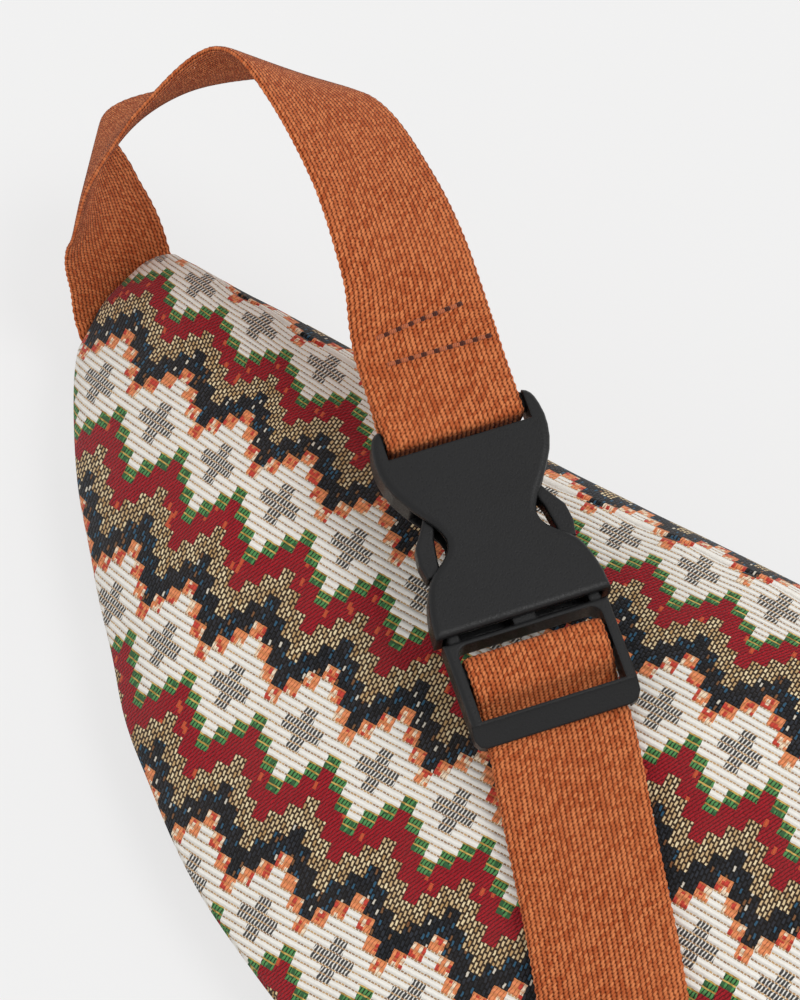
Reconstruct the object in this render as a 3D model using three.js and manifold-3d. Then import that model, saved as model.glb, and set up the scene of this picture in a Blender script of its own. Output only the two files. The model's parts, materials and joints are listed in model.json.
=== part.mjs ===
// A half-moon belt bag, lying on its front with its back panel up. Millimetres, +Z up, +X along the bag.
import * as THREE from "three";
import { mergeVertices } from "three/addons/utils/BufferGeometryUtils.js";
import Module from "manifold-3d";

const wasm = await Module();
wasm.setup();

// Driving dimensions of the bag's body
const BAG_LENGTH = 380;
const BAG_DEPTH = 167; // from the zip side to the lowest point of the curved seam
const SEAM_BOW = 1.8; // the two powers that round the curved seam
const SEAM_FLATTEN = 0.93;
const SEAM_HEIGHT = 20; // of the seam and of both tips above the table
const TIP_LOW = 27; // how far the blunt tip reaches below the zip line
const TIP_HIGH = 11; // and above it
const TIP_SLANT = 0.2; // the blunt tips lean inwards this much towards the zip side
const TIP_HALF_HEIGHT = 3;
const TIP_CROWN = 5.5;
const ZIP_EDGE_Y = -8; // where the panels end on the zip side, in the middle of the bag
const BACK_EDGE_RISE = 45; // height of the back panel's zip side edge above the tips
const DENT_X = -52; // a shallow dent in that edge, under the buckle
const DENT_SPREAD = 60;
const DENT_DEPTH = 12;
const FRONT_EDGE_DROP = 11;
const BACK_CROWN = 9; // how far the stuffed back panel stands above a straight line
const FRONT_CROWN = 17;
const CROWN_ROUNDNESS = 0.7;
const TIP_ROUNDNESS = 0.35;
const REST_POINT_Y = 80; // the frame's origin lies this far in from the zip line, on the table

// Cloth and its layers, each inset below the one outside it
const PANEL_THICK = 2.4;
const STRIP_THICK = 1.6;
const TAPE_THICK = 0.8;
const LINING_THICK = 0.8;
const LAYER_GAP = 0.3;
const TAPE_GAP = 0.6; // between a strip and the zip tape behind it
const LINING_GAP = 1.5;
const LINING_SHARE = 0.9; // the lining ends this far along the bag's half length

// Zip
const ZIP_Y = 7;
const ZIP_Z = 30;
const ZIP_HALF_LENGTH = 138;
const STRIP_EDGE = 5.2; // from the middle of the zip to the edge of each strip
const TAPE_WIDTH = 10;
const TEETH_PITCH = 4;
const TEETH_REACH = 1.3; // of each tooth past the middle
const SPINE_NEAR = 1.7;
const SPINE_FAR = 2.8;
const TEETH_HALF_DEPTH = 1.1;
const SLIDER_LENGTH = 12;
const SLIDER_HALF = 4.5;
const SLIDER_PLATE = 1.5;
const PULL_LENGTH = 25;
const PULL_HALF = 3.4;
const PULL_THICK = 1.6;

// Webbing
const WEB_WIDTH = 38;
const WEB_THICK = 2;
const TIP_WEB_SHARE = 0.78; // of its width where the tip's seam holds it
const TIP_OPENING = 17;

// Side-release buckle: v runs along it from the slot's inner edge, w up from its underside
const SOCKET_LENGTH = 50.5;
const BUCKLE_HEIGHT = 11;
const SOCKET_SKIN = 2;
const SOCKET_ROUNDING = 1.5;
const RAIL_ROUNDING = 1.1;
const ARM_ROUNDING = 0.7;
const MOUTH_HALF = 23.7;
const SLOT_HALF = WEB_WIDTH / 2 + 0.6;
const BAR_DEPTH = 4.5;
const PLUG_LENGTH = 28; // of the ladder lock outside the socket
const PLUG_HALF = 22.3;
const PLUG_LOW = 0.5;
const PLUG_HIGH = 9;
const END_BAR_SLOPE = 0.55; // in radians
const FIT = 0.4; // running clearance of the plug in the socket
const BUCKLE_ORIGIN = new THREE.Vector3(-64.8, -26.8, 79.5);
const BUCKLE_ACROSS = new THREE.Vector3(0.62, 0.784, 0.009);
const BUCKLE_ALONG = new THREE.Vector3(0.772, -0.608, -0.183);

// Materials
const clothMaterial = new THREE.MeshStandardMaterial({ color: 0xb9a58c, roughness: 0.9 });
const stripMaterial = new THREE.MeshStandardMaterial({ color: 0xa68f72, roughness: 0.9 });
const liningMaterial = new THREE.MeshStandardMaterial({ color: 0x2e2a28, roughness: 0.8 });
const webMaterial = new THREE.MeshStandardMaterial({ color: 0xb4552d, roughness: 0.85 });
const plasticMaterial = new THREE.MeshStandardMaterial({ color: 0x1c1c1d, roughness: 0.5 });
const tapeMaterial = new THREE.MeshStandardMaterial({ color: 0x1b1a1a, roughness: 0.8 });
const metalMaterial = new THREE.MeshStandardMaterial({ color: 0x8c8a86, roughness: 0.35, metalness: 1 });

const bag = new THREE.Group();
bag.position.y = REST_POINT_Y;

// Solids and booleans

function solidOf(geometry) {
  const bare = geometry.index ? geometry.toNonIndexed() : geometry.clone();
  bare.deleteAttribute("normal");
  bare.deleteAttribute("uv");
  const merged = mergeVertices(bare, 1e-4);
  return new wasm.Manifold(
    new wasm.Mesh({
      numProp: 3,
      vertProperties: new Float32Array(merged.attributes.position.array),
      triVerts: new Uint32Array(merged.index.array),
    }),
  );
}

function geometryOf(solid) {
  const mesh = solid.getMesh();
  return new THREE.BufferGeometry()
    .setAttribute("position", new THREE.BufferAttribute(mesh.vertProperties.slice(), 3))
    .setIndex(new THREE.BufferAttribute(mesh.triVerts.slice(), 1));
}

function place(name, geometry, material, parent = bag) {
  const mesh = new THREE.Mesh(geometry, material);
  mesh.name = name;
  parent.add(mesh);
  return mesh;
}

function box(xs, ys, zs) {
  return new THREE.BoxGeometry(xs[1] - xs[0], ys[1] - ys[0], zs[1] - zs[0]).translate(
    (xs[0] + xs[1]) / 2,
    (ys[0] + ys[1]) / 2,
    (zs[0] + zs[1]) / 2,
  );
}

function outline(points) {
  return new THREE.Shape(points.map(([x, y]) => new THREE.Vector2(x, y)));
}

// A smooth closed outline through the given points, mirrored across the buckle's middle line
function mirroredOutline(half, divisions) {
  const right = new THREE.SplineCurve(half.map(([u, v]) => new THREE.Vector2(u, v))).getPoints(divisions);
  const left = right.map((p) => new THREE.Vector2(-p.x, p.y)).reverse();
  return new THREE.Shape([...right, ...left]);
}

function plate(shape, low, high, bevel = 0) {
  return new THREE.ExtrudeGeometry(shape, {
    depth: high - low - 2 * bevel,
    bevelEnabled: bevel > 0,
    bevelThickness: bevel,
    bevelSize: bevel,
    bevelOffset: -bevel,
    bevelSegments: 3,
    curveSegments: 6,
  }).translate(0, 0, low + bevel);
}

// The skin of a row of rings, each ring a closed loop of points
function skinOf(rings) {
  const count = rings[0].length;
  const positions = rings.flat().flatMap((p) => [p.x, p.y, p.z]);
  const index = [];
  for (let i = 0; i + 1 < rings.length; i++) {
    for (let j = 0; j < count; j++) {
      const a = i * count + j;
      const b = i * count + ((j + 1) % count);
      index.push(a, b, a + count, b, b + count, a + count);
    }
  }
  return { positions, index, count };
}

function closedGeometry(positions, index) {
  return new THREE.BufferGeometry()
    .setAttribute("position", new THREE.Float32BufferAttribute(positions, 3))
    .setIndex(index);
}

// The same with a fan over the first and the last ring
function cappedSkin(rings) {
  const { positions, index, count } = skinOf(rings);
  [0, rings.length - 1].forEach((row) => {
    const middle = rings[row].reduce((sum, p) => sum.add(p), new THREE.Vector3()).divideScalar(count);
    const centre = positions.length / 3;
    positions.push(middle.x, middle.y, middle.z);
    for (let j = 0; j < count; j++) {
      const a = row * count + j;
      const b = row * count + ((j + 1) % count);
      index.push(...(row === 0 ? [centre, b, a] : [centre, a, b]));
    }
  });
  return closedGeometry(positions, index);
}

function outward(geometry) {
  if (solidOf(geometry).volume() > 0) return geometry;
  const turned = Array.from(geometry.index.array);
  for (let i = 0; i < turned.length; i += 3) {
    [turned[i + 1], turned[i + 2]] = [turned[i + 2], turned[i + 1]];
  }
  return geometry.setIndex(turned);
}

// Body of the bag: every cross-section is one loop, from the curved seam over the back panel to the zip side,
// down past the zip and back along the front panel

const HALF_LENGTH = BAG_LENGTH / 2;
const SEAM = 0;
const BACK_EDGE = 1;
const ZIP_LINE = 2;
const FRONT_EDGE = 3;
const SEAM_AGAIN = 4;
const EDGE_GAP = LAYER_GAP / 2;

const lerp = THREE.MathUtils.lerp;

function fullness(share, power) {
  return Math.sqrt(Math.max(0, 1 - Math.pow(Math.abs(share), power)));
}

function seamY(share) {
  const bow = Math.pow(Math.max(0, 1 - Math.pow(Math.abs(share), SEAM_BOW)), SEAM_FLATTEN);
  return -(TIP_LOW + (BAG_DEPTH - TIP_LOW) * bow);
}

function zipEdgeY(share) {
  return ZIP_EDGE_Y + (TIP_HIGH - ZIP_EDGE_Y) * Math.pow(Math.abs(share), 4);
}

function backEdgeZ(share) {
  const dent = DENT_DEPTH * Math.exp(-(((share * HALF_LENGTH - DENT_X) / DENT_SPREAD) ** 2));
  return SEAM_HEIGHT + TIP_HALF_HEIGHT + BACK_EDGE_RISE * fullness(share, 2) - dent;
}

function crown(share, t) {
  const roundness = lerp(TIP_ROUNDNESS, CROWN_ROUNDNESS, fullness(share, 6));
  return Math.pow(Math.max(0, 4 * t * (1 - t)), roundness);
}

function backBulge(share, t) {
  return (TIP_CROWN + BACK_CROWN * fullness(share, 6)) * crown(share, t);
}

// How far the zip wall has come out from the panel's edge, a share t of the way to the zip
function wallEase(t) {
  return 1 - Math.pow(1 - t, 3);
}

// The point at share -1..1 of the length and place q round the loop, on a skin inset below the outside
function bodyPoint(share, q, inset) {
  const plump = fullness(share, 6);
  const at = (y, z) => {
    const slant = TIP_SLANT * (y + (TIP_LOW - TIP_HIGH) / 2) * Math.pow(Math.abs(share), 6);
    return new THREE.Vector3(share * HALF_LENGTH - Math.sign(share) * slant, y, z);
  };
  const low = seamY(share) + inset;
  const high = zipEdgeY(share) - inset;
  const backZ = backEdgeZ(share) - inset;
  const frontZ = SEAM_HEIGHT - TIP_HALF_HEIGHT - FRONT_EDGE_DROP * plump + inset;
  const zipY = Math.max(ZIP_Y, zipEdgeY(share) + 1.5) - inset;
  const zipZ = lerp(SEAM_HEIGHT, ZIP_Z, Math.min(1, plump * 1.25));
  if (q <= BACK_EDGE) {
    return at(lerp(low, high, q), lerp(SEAM_HEIGHT, backZ, q) + backBulge(share, q));
  }
  if (q <= ZIP_LINE) {
    const t = q - BACK_EDGE;
    return at(lerp(high, zipY, wallEase(t)), lerp(backZ, zipZ, t));
  }
  if (q <= FRONT_EDGE) {
    const t = FRONT_EDGE - q;
    return at(lerp(high, zipY, wallEase(t)), lerp(frontZ, zipZ, t));
  }
  const t = q - FRONT_EDGE;
  const sag = (TIP_CROWN + FRONT_CROWN * plump) * crown(share, t);
  return at(lerp(high, low, t), Math.max(inset, lerp(frontZ, SEAM_HEIGHT, t) - sag));
}

// Height of the back panel's outside over a point of the table
function backHeight(x, y) {
  const share = x / HALF_LENGTH;
  const low = seamY(share);
  const t = THREE.MathUtils.clamp((y - low) / (zipEdgeY(share) - low), 0, 1);
  return lerp(SEAM_HEIGHT, backEdgeZ(share), t) + backBulge(share, t);
}

// Shares of the length at which sections are taken, closer together towards the tips
function lengthShares(reach, count) {
  return Array.from({ length: count + 1 }, (_, i) => {
    const even = (2 * i) / count - 1;
    return reach * (0.5 * Math.sin((even * Math.PI) / 2) + 0.5 * even);
  });
}

// The place a length of cloth away from place q, measured round the loop
function placeBeyond(share, q, length, inset = 0) {
  const probe = 0.02 * Math.sign(length);
  const step = bodyPoint(share, q, inset).distanceTo(bodyPoint(share, q + probe, inset));
  const speed = step / Math.abs(probe);
  return q + length / speed;
}

// Cloth between two places of the loop, given for every share of the length
function cloth({ reach, from, to, inset, thick, lengthSteps, roundSteps }) {
  const rings = lengthShares(reach, lengthSteps).map((share) => {
    const start = from(share);
    const end = to(share);
    const places = Array.from({ length: roundSteps + 1 }, (_, j) =>
      lerp(start, end, 0.5 - 0.5 * Math.cos((Math.PI * j) / roundSteps)),
    );
    const outer = places.map((q) => bodyPoint(share, q, inset));
    const inner = places.map((q) => bodyPoint(share, q, inset + thick)).reverse();
    return [...outer, ...inner];
  });
  const { positions, index, count } = skinOf(rings);
  const last = (rings.length - 1) * count;
  for (let j = 0; j < roundSteps; j++) {
    const other = count - 1 - j;
    index.push(j, other, j + 1, other, other - 1, j + 1);
    index.push(last + j, last + j + 1, last + other, last + other, last + j + 1, last + other - 1);
  }
  return outward(closedGeometry(positions, index));
}

// The whole body as one solid, inset below the outside
function wholeBody(reach, inset, lengthSteps, roundSteps) {
  const rings = lengthShares(reach, lengthSteps).map((share) =>
    Array.from({ length: roundSteps }, (_, j) => bodyPoint(share, (SEAM_AGAIN * j) / roundSteps, inset)),
  );
  return outward(cappedSkin(rings));
}

// Panels and zip strips

// Half the opening between the strips, which close up past the ends of the zip
function openingAt(share) {
  const past = Math.abs(share) * HALF_LENGTH - (ZIP_HALF_LENGTH + 8);
  return lerp(STRIP_EDGE, EDGE_GAP, THREE.MathUtils.clamp(past / 14, 0, 1));
}

function addPanels() {
  const panel = { reach: 1, inset: 0, thick: PANEL_THICK, lengthSteps: 30, roundSteps: 12 };
  const strip = { reach: 1, inset: 0, thick: STRIP_THICK, lengthSteps: 30, roundSteps: 6 };
  const backPanel = {
    from: (share) => placeBeyond(share, SEAM, EDGE_GAP),
    to: (share) => placeBeyond(share, BACK_EDGE, -EDGE_GAP),
  };
  const backStrip = {
    from: (share) => placeBeyond(share, BACK_EDGE, EDGE_GAP),
    to: (share) => placeBeyond(share, ZIP_LINE, -openingAt(share)),
  };
  const frontStrip = {
    from: (share) => placeBeyond(share, ZIP_LINE, openingAt(share)),
    to: (share) => placeBeyond(share, FRONT_EDGE, -EDGE_GAP),
  };
  const frontPanel = {
    from: (share) => placeBeyond(share, FRONT_EDGE, EDGE_GAP),
    to: (share) => placeBeyond(share, SEAM_AGAIN, -EDGE_GAP),
  };
  place("back_panel", cloth({ ...panel, ...backPanel }), clothMaterial);
  place("front_panel", cloth({ ...panel, ...frontPanel }), clothMaterial);
  place("zip_strip_back", cloth({ ...strip, ...backStrip }), stripMaterial);
  place("zip_strip_front", cloth({ ...strip, ...frontStrip }), stripMaterial);
}

// Zip: two tapes with a comb of teeth each, stops, slider and pull

const TAPE_INSET = STRIP_THICK + TAPE_GAP;
const TAPE_NEAR = SPINE_FAR + LAYER_GAP;
const TEETH_Y = ZIP_Y - TAPE_INSET - TAPE_THICK / 2;
const TAPE_REACH = (ZIP_HALF_LENGTH + 20) / HALF_LENGTH;
const SLIDER_X = -ZIP_HALF_LENGTH + SLIDER_LENGTH / 2; // its middle, with the zip closed
const SLIDER_INSIDE = TEETH_HALF_DEPTH + LAYER_GAP; // from the middle of the teeth to each plate
const PULL_AXIS_X = SLIDER_X - 0.5;
const PULL_AXIS_Y = TEETH_Y + SLIDER_INSIDE + SLIDER_PLATE + 0.4 + PULL_THICK / 2;

function addTapes() {
  const tape = { reach: TAPE_REACH, inset: TAPE_INSET, thick: TAPE_THICK, lengthSteps: 20, roundSteps: 3 };
  const back = {
    from: (share) => placeBeyond(share, ZIP_LINE, -(TAPE_NEAR + TAPE_WIDTH), TAPE_INSET),
    to: (share) => placeBeyond(share, ZIP_LINE, -TAPE_NEAR, TAPE_INSET),
  };
  const front = {
    from: (share) => placeBeyond(share, ZIP_LINE, TAPE_NEAR, TAPE_INSET),
    to: (share) => placeBeyond(share, ZIP_LINE, TAPE_NEAR + TAPE_WIDTH, TAPE_INSET),
  };
  place("zip_tape_back", cloth({ ...tape, ...back }), tapeMaterial);
  place("zip_tape_front", cloth({ ...tape, ...front }), tapeMaterial);
}

// A shape drawn in x and z, standing between two values of y
function standing(shape, y0, y1) {
  return plate(shape, -y1, -y0).rotateX(Math.PI / 2);
}

// A comb of teeth; side 1 hangs from the back tape, side -1 stands on the front tape
function comb(side) {
  const start = SLIDER_X;
  const count = Math.floor((ZIP_HALF_LENGTH - start) / TEETH_PITCH);
  const points = [[start, side * SPINE_FAR], [start, side * SPINE_NEAR]];
  for (let i = 0; i < count; i++) {
    const x = start + (i + (side > 0 ? 0.25 : 0.75)) * TEETH_PITCH;
    points.push([x - 0.95, side * SPINE_NEAR], [x - 0.5, 0], [x - 0.8, -side * TEETH_REACH]);
    points.push([x + 0.8, -side * TEETH_REACH], [x + 0.5, 0], [x + 0.95, side * SPINE_NEAR]);
  }
  const end = start + (count + 0.25) * TEETH_PITCH;
  points.push([end, side * SPINE_NEAR], [end, side * SPINE_FAR]);
  const shape = outline(points.map(([x, z]) => [x, ZIP_Z + z]));
  return standing(shape, TEETH_Y - TEETH_HALF_DEPTH, TEETH_Y + TEETH_HALF_DEPTH);
}

function addTeeth() {
  place("zip_teeth_back", comb(1), metalMaterial);
  place("zip_teeth_front", comb(-1), metalMaterial);
  const depth = [TEETH_Y - TEETH_HALF_DEPTH, TEETH_Y + TEETH_HALF_DEPTH];
  const endX = ZIP_HALF_LENGTH + 2;
  place("zip_bottom_stop", box([endX, endX + 4], depth, [ZIP_Z - SPINE_FAR, ZIP_Z + SPINE_FAR]), metalMaterial);
  const topX = [-ZIP_HALF_LENGTH - 4, -ZIP_HALF_LENGTH - 1];
  place("zip_top_stop_back", box(topX, depth, [ZIP_Z + 0.5, ZIP_Z + SPINE_FAR]), metalMaterial);
  place("zip_top_stop_front", box(topX, depth, [ZIP_Z - SPINE_FAR, ZIP_Z - 0.5]), metalMaterial);
}

function addSlider() {
  const x0 = SLIDER_X - SLIDER_LENGTH / 2;
  const x1 = SLIDER_X + SLIDER_LENGTH / 2;
  const rear = SLIDER_HALF - 0.4;
  const shape = outline(
    [
      [x0, -SLIDER_HALF + 1.6],
      [x0 + 1, -SLIDER_HALF],
      [SLIDER_X + 1, -SLIDER_HALF],
      [x1 - 0.6, -rear],
      [x1, -rear + 0.6],
      [x1, rear - 0.6],
      [x1 - 0.6, rear],
      [SLIDER_X + 1, SLIDER_HALF],
      [x0 + 1, SLIDER_HALF],
      [x0, SLIDER_HALF - 1.6],
    ].map(([x, z]) => [x, ZIP_Z + z]),
  );
  const inner = TEETH_Y - SLIDER_INSIDE;
  const outer = TEETH_Y + SLIDER_INSIDE;
  const tapeRoom = TAPE_THICK / 2 + FIT;
  const block = solidOf(standing(shape, inner - SLIDER_PLATE, outer + SLIDER_PLATE));
  const channel = solidOf(
    box([x0 - 1, x1 + 1], [inner, outer], [ZIP_Z - SPINE_FAR - FIT, ZIP_Z + SPINE_FAR + FIT]),
  );
  const slots = solidOf(
    box([x0 - 1, x1 + 1], [TEETH_Y - tapeRoom, TEETH_Y + tapeRoom], [ZIP_Z - 9, ZIP_Z + 9]),
  );
  const neck = solidOf(box([x0 + 0.8, x0 + 4], [inner - 0.5, outer + 0.5], [ZIP_Z - 1.2, ZIP_Z + 1.2]));
  const bailTop = PULL_AXIS_Y + PULL_THICK / 2 + 0.3;
  const post = (x) => solidOf(box([x, x + 1.2], [outer + 0.5, bailTop + 1], [ZIP_Z - 0.9, ZIP_Z + 0.9]));
  const beam = solidOf(box([x0 + 0.6, x1 - 0.6], [bailTop, bailTop + 1], [ZIP_Z - 0.9, ZIP_Z + 0.9]));
  const slider = block
    .subtract(channel)
    .subtract(slots)
    .add(neck)
    .add(post(x0 + 0.6))
    .add(post(x1 - 1.8))
    .add(beam);
  place("zip_slider", geometryOf(slider), metalMaterial);
}

function addPull() {
  const x = PULL_AXIS_X;
  const end = x + PULL_LENGTH;
  const tab = outline(
    [
      [x, -PULL_HALF],
      [x + 10, -PULL_HALF],
      [end - 4, -PULL_HALF + 0.9],
      [end - 1, -1.6],
      [end, -0.5],
      [end, 0.5],
      [end - 1, 1.6],
      [end - 4, PULL_HALF - 0.9],
      [x + 10, PULL_HALF],
      [x, PULL_HALF],
    ].map(([px, z]) => [px, ZIP_Z + z]),
  );
  const low = PULL_AXIS_Y - PULL_THICK / 2;
  const high = PULL_AXIS_Y + PULL_THICK / 2;
  const eye = solidOf(box([x - 2, x + 8], [low - 1, high + 1], [ZIP_Z - 1.5, ZIP_Z + 1.5]));
  const bar = solidOf(
    new THREE.CylinderGeometry(PULL_THICK / 2, PULL_THICK / 2, 2 * PULL_HALF, 12)
      .rotateX(Math.PI / 2)
      .translate(x, PULL_AXIS_Y, ZIP_Z),
  );
  const slot = solidOf(box([x + 12, x + 20], [low - 1, high + 1], [ZIP_Z - 1, ZIP_Z + 1]));
  const pull = solidOf(standing(tab, low, high)).subtract(eye).subtract(slot).add(bar);
  place("zip_pull", geometryOf(pull), metalMaterial);
}

function addLining() {
  const outside = PANEL_THICK + LINING_GAP;
  const outer = solidOf(wholeBody(LINING_SHARE, outside, 22, 36));
  const inner = solidOf(wholeBody(LINING_SHARE - 0.006, outside + LINING_THICK, 22, 36));
  const half = TAPE_NEAR + TAPE_WIDTH - 1.5;
  const slit = solidOf(
    box([-ZIP_HALF_LENGTH - 8, ZIP_HALF_LENGTH + 8], [ZIP_Y - 14, ZIP_Y + 5], [ZIP_Z - half, ZIP_Z + half]),
  );
  place("lining", geometryOf(outer.subtract(inner).subtract(slit)), liningMaterial);
}

// Buckle, drawn lying at the origin and then set in place

const across = BUCKLE_ACROSS.clone().normalize();
const normal = across.clone().cross(BUCKLE_ALONG).normalize().negate();
const along = across.clone().cross(normal).normalize();
const buckleFrame = new THREE.Matrix4()
  .makeBasis(across.clone().negate(), along, normal)
  .setPosition(BUCKLE_ORIGIN);

function onBuckle(v, w) {
  return new THREE.Vector3(0, v, w).applyMatrix4(buckleFrame);
}

function addSocket() {
  const half = [
    [18, -9],
    [21, -7.8],
    [22.6, -5],
    [23.3, 1],
    [21.8, 8],
    [18, 14.8],
    [14, 20.4],
    [12.3, 25],
    [14.2, 29],
    [19.4, 33.4],
    [21.8, 38],
    [23.3, 44],
    [MOUTH_HALF, SOCKET_LENGTH - 1],
  ];
  const shape = mirroredOutline(half, 26);
  const top = BUCKLE_HEIGHT - SOCKET_SKIN;
  let socket = solidOf(plate(shape, 0, BUCKLE_HEIGHT, SOCKET_ROUNDING));
  const face = SOCKET_LENGTH;
  const wall = SOCKET_SKIN;
  const pocket = outline([
    [-(MOUTH_HALF - wall), face + 2],
    [-(MOUTH_HALF - wall), 46],
    [-19.4, 36.6],
    [-19.4, 33.5],
    [-40, 33.5],
    [-40, 14],
    [-16.8, 14],
    [-19.4, 8],
    [19.4, 8],
    [16.8, 14],
    [40, 14],
    [40, 33.5],
    [19.4, 33.5],
    [19.4, 36.6],
    [MOUTH_HALF - wall, 46],
    [MOUTH_HALF - wall, face + 2],
  ]);
  socket = socket
    .subtract(solidOf(plate(pocket, SOCKET_SKIN, top)))
    .subtract(solidOf(box([-30, 30], [face, face + 9], [-5, 20])))
    .subtract(solidOf(box([-SLOT_HALF, SLOT_HALF], [-BAR_DEPTH, 0], [-5, 20])))
    .subtract(solidOf(box([-SLOT_HALF, SLOT_HALF], [-20, -BAR_DEPTH + 0.01], [-5, 3])))
    .subtract(solidOf(box([-SLOT_HALF, SLOT_HALF], [-20, -BAR_DEPTH + 0.01], [8, 20])));
  place("buckle_socket", geometryOf(socket).applyMatrix4(buckleFrame), plasticMaterial);
}

function addPlug() {
  const v0 = SOCKET_LENGTH + FIT;
  const v1 = v0 + PLUG_LENGTH;
  const frame = outline([
    [-PLUG_HALF, v0],
    [PLUG_HALF, v0],
    [PLUG_HALF, v1 - 2.4],
    [PLUG_HALF - 1, v1 - 0.7],
    [PLUG_HALF - 2.8, v1],
    [-(PLUG_HALF - 2.8), v1],
    [-(PLUG_HALF - 1), v1 - 0.7],
    [-PLUG_HALF, v1 - 2.4],
  ]);
  const inside = WEB_WIDTH / 2 + 0.4;
  // The window next to the socket has rounded corners on that side, and a lip round it
  const corner = 3;
  const windowShape = (grow) => {
    const near = v0 + 1.6 - grow;
    const side = inside + grow;
    const shape = new THREE.Shape();
    shape.moveTo(-side, v0 + 6.6);
    shape.lineTo(-side, near + corner);
    shape.absarc(-side + corner, near + corner, corner, Math.PI, 1.5 * Math.PI, false);
    shape.absarc(side - corner, near + corner, corner, 1.5 * Math.PI, 2 * Math.PI, false);
    shape.lineTo(side, v0 + 6.6);
    return shape;
  };
  // The end bar slopes down outwards
  const slope = solidOf(
    box([-30, 30], [0, 30], [0, 20]).rotateX(-END_BAR_SLOPE).translate(0, v0 + 22.4, PLUG_HIGH - 1.2),
  );
  let plug = solidOf(plate(frame, PLUG_LOW, PLUG_HIGH, RAIL_ROUNDING))
    .subtract(solidOf(plate(windowShape(0), -5, 20)))
    .subtract(slope)
    .subtract(solidOf(box([-inside, inside], [v0 + 11.6, v0 + 22.1], [-5, 20])))
    .subtract(solidOf(box([-inside, inside], [v0 + 6.5, v0 + 11.7], [7, 20])))
    .subtract(solidOf(box([-inside, inside], [v0 + 6.5, v0 + 11.7], [-5, 3])))
    .subtract(solidOf(box([-inside, inside], [v0 + 22, v1 + 5], [-5, 3.8])));
  const arm = (side) =>
    outline(
      [
        [20.9, v0 + 0.8],
        [20.2, 45],
        [18.6, 37.4],
        [18.6, 33],
        [20.2, 33],
        [21, 28.6],
        [20.4, 24],
        [17, 18.8],
        [13.6, 12.4],
        [12, 9.6],
        [10.4, 10.4],
        [12.6, 17],
        [15, 23],
        [16, 29],
        [16.2, 37],
        [17.2, 45],
        [17.4, v0 + 0.8],
      ].map(([u, v]) => [side * u, v]),
    );
  const inner = SOCKET_SKIN + FIT;
  const outer = BUCKLE_HEIGHT - SOCKET_SKIN - FIT;
  const guide = box([-3, 3], [20, v0 + 1], [inner, outer]);
  plug = plug
    .add(solidOf(outward(plate(arm(1), inner, outer, ARM_ROUNDING))))
    .add(solidOf(outward(plate(arm(-1), inner, outer, ARM_ROUNDING))))
    .add(solidOf(guide));
  place("buckle_plug", geometryOf(plug).applyMatrix4(buckleFrame), plasticMaterial);
}

// Webbing straps

// A flat strap through the points, its width held along the given directions and gathered at the given shares
function ribbon(points, acrosses, gather = () => 1) {
  const rings = points.map((p, i) => {
    const before = points[Math.max(0, i - 1)];
    const after = points[Math.min(points.length - 1, i + 1)];
    const tangent = after.clone().sub(before).normalize();
    const side = acrosses[i].clone().addScaledVector(tangent, -acrosses[i].dot(tangent)).normalize();
    const up = tangent.clone().cross(side);
    return [
      [1, 1],
      [-1, 1],
      [-1, -1],
      [1, -1],
    ].map(([a, b]) =>
      p
        .clone()
        .addScaledVector(side, (a * gather(p) * WEB_WIDTH) / 2)
        .addScaledVector(up, (b * WEB_THICK) / 2),
    );
  });
  return outward(cappedSkin(rings));
}

// A smooth run through a route of [point, across] pairs
function smoothRun(route, count) {
  const curve = new THREE.CatmullRomCurve3(route.map(([p]) => new THREE.Vector3(...p)), false, "centripetal");
  const sides = new THREE.CatmullRomCurve3(route.map(([, g]) => new THREE.Vector3(...g)), false, "centripetal");
  return Array.from({ length: count + 1 }, (_, i) => [
    curve.getPoint(i / count),
    sides.getPoint(i / count),
  ]);
}

// The centre line of webbing round a bar of the buckle, from above to below it, on the side that faces way
function roundBar(v, low, high, way) {
  const bend = 0.2;
  const radius = bend + LAYER_GAP + WEB_THICK / 2;
  const turn = [0, 30, 60, 90].map((a) => THREE.MathUtils.degToRad(a));
  const centreV = v - way * bend;
  const upper = turn.map((a) => [centreV + way * radius * Math.sin(a), high - bend + radius * Math.cos(a)]);
  const lower = turn.map((a) => [centreV + way * radius * Math.cos(a), low + bend - radius * Math.sin(a)]);
  return [...upper, ...lower];
}

const TIP_STRAP_Y = (TIP_HIGH - TIP_LOW) / 2 - 1;
const TIP_STRAP_INSIDE = HALF_LENGTH - 13;

// The webbing is gathered where the seam of a tip holds it, and opens out to its full width just outside
function gatherFrom(end) {
  return (p) => lerp(TIP_WEB_SHARE, 1, THREE.MathUtils.smoothstep(p.distanceTo(end), TIP_OPENING, 2 * TIP_OPENING));
}

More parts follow.
